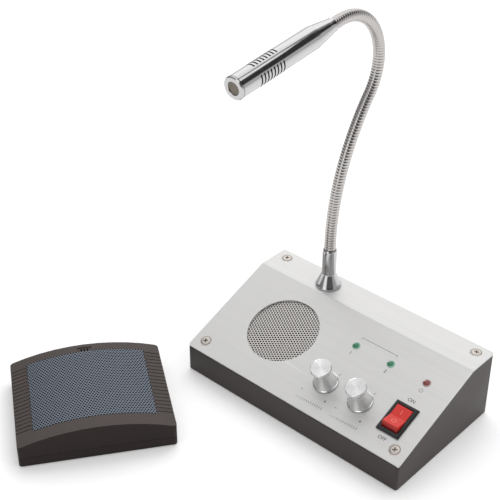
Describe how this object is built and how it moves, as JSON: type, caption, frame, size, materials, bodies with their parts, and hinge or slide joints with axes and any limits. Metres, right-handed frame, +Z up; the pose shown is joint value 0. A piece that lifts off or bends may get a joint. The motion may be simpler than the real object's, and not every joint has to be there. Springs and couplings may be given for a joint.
{
  "type": "teller window intercom",
  "caption": "Two-way counter intercom: sloped desk console with gooseneck microphone, two volume knobs, rocker switch and indicator lamps, and a separate outside speaker unit.",
  "frame": {"origin": "centre of the console casing's flat underside; the pads of both units reach 0.8 mm lower, to the counter", "axes": "+Z up, +Y from the console user towards the customer, +X to the user's right"},
  "size_m": [0.2267, 0.244, 0.2218],
  "materials": {
    "casing_black": "fine matt paint",
    "panel_silver": "brushed across, clear anodised",
    "knob_silver": "spun, bright",
    "chrome": "bright plated",
    "screw_nickel": "nickel plated",
    "grille_silver": "perforated, satin",
    "plain_steel": "zinc plated",
    "brass": "turned",
    "lens_green": "tinted, clear",
    "lens_red": "tinted, clear",
    "switch_black": "semi gloss",
    "rocker_red": "semi gloss",
    "shell_black": "fine grain",
    "mesh_dark": "semi gloss paint",
    "rubber": "matt",
    "board": "solder mask",
    "component_black": "moulded",
    "sink_aluminium": "extruded",
    "cone_paper": "treated paper",
    "magnet_dark": "ferrite"
  },
  "bodies": {
    "console": {"base_casing": "casing_black", "top_panel": "panel_silver", "panel_screws": "screw_nickel", "speaker_grille": "grille_silver", "speaker_gasket": "rubber", "speaker_basket": "plain_steel", "speaker_cone": "cone_paper", "speaker_magnet": "magnet_dark", "circuit_board": "board", "amplifier_chip": "component_black", "heat_sink": "sink_aluminium", "board_capacitors": "component_black", "pot_inside": "plain_steel", "pot_outside": "plain_steel", "pot_nuts": "plain_steel", "lamp_inside": "lens_green", "lamp_outside": "lens_green", "lamp_power": "lens_red", "switch_housing": "switch_black", "switch_tabs": "brass", "mic_socket": "chrome", "socket_nut": "plain_steel", "power_inlet": "component_black", "outside_jack": "component_black", "rubber_feet": "rubber", "neck_section_0": "chrome", "outer_top_shell": "shell_black", "outer_grille": "mesh_dark", "outer_bottom_shell": "shell_black", "outer_speaker_basket": "plain_steel", "outer_speaker_cone": "cone_paper", "outer_speaker_magnet": "magnet_dark", "outer_mic": "component_black", "outer_jack": "component_black", "outer_screws": "plain_steel", "outer_pads": "rubber"},
    "inside_knob": {"knob_inside": "knob_silver", "shaft_inside": "brass"},
    "outside_knob": {"knob_outside": "knob_silver", "shaft_outside": "brass"},
    "rocker": {"switch_rocker": "rocker_red"},
    "neck_1": {"neck_section_1": "chrome"},
    "neck_2": {"neck_section_2": "chrome"},
    "neck_3": {"neck_section_3": "chrome"},
    "neck_4": {"neck_section_4": "chrome"},
    "neck_5": {"neck_section_5": "chrome"},
    "neck_6": {"neck_section_6": "chrome"},
    "microphone": {"neck_section_7": "chrome", "mic_tube": "chrome", "mic_tip_ring": "chrome", "mic_mesh": "plain_steel", "mic_capsule": "plain_steel", "capsule_holder": "rubber"}
  },
  "joints": [
    {"name": "inside_volume", "type": "hinge", "parent": "console", "child": "inside_knob", "pos_m": [0.0115, -0.02638, 0.0332], "axis": [0, -0.3587, 0.9335], "range_deg": [-150, 150]},
    {"name": "outside_volume", "type": "hinge", "parent": "console", "child": "outside_knob", "pos_m": [0.0365, -0.02638, 0.0332], "axis": [0, -0.3587, 0.9335], "range_deg": [-150, 150]},
    {"name": "power_rocker", "type": "hinge", "parent": "console", "child": "rocker", "pos_m": [0.06149, -0.02166, 0.02537], "axis": [1, 0, 0], "range_deg": [0, 22]},
    {"name": "neck_bend_1", "type": "hinge", "parent": "console", "child": "neck_1", "pos_m": [-0.03361, 0.03334, 0.0799], "axis": [1, 0, 0], "range_deg": [-15, 15]},
    {"name": "neck_bend_2", "type": "hinge", "parent": "neck_1", "child": "neck_2", "pos_m": [-0.03361, 0.0371, 0.10688], "axis": [0, 0.973, -0.2307], "range_deg": [-15, 15]},
    {"name": "neck_bend_3", "type": "hinge", "parent": "neck_2", "child": "neck_3", "pos_m": [-0.03361, 0.04585, 0.13267], "axis": [1, 0, 0], "range_deg": [-15, 15]},
    {"name": "neck_bend_4", "type": "hinge", "parent": "neck_3", "child": "neck_4", "pos_m": [-0.03361, 0.05928, 0.15637], "axis": [0, 0.8198, -0.5727], "range_deg": [-15, 15]},
    {"name": "neck_bend_5", "type": "hinge", "parent": "neck_4", "child": "neck_5", "pos_m": [-0.03361, 0.07051, 0.1807], "axis": [1, 0, 0], "range_deg": [-15, 15]},
    {"name": "neck_bend_6", "type": "hinge", "parent": "neck_5", "child": "neck_6", "pos_m": [-0.03361, 0.06193, 0.20585], "axis": [0, 0.7481, 0.6635], "range_deg": [-15, 15]},
    {"name": "neck_bend_7", "type": "hinge", "parent": "neck_6", "child": "microphone", "pos_m": [-0.03361, 0.03799, 0.21738], "axis": [1, 0, 0], "range_deg": [-15, 15]}
  ]
}
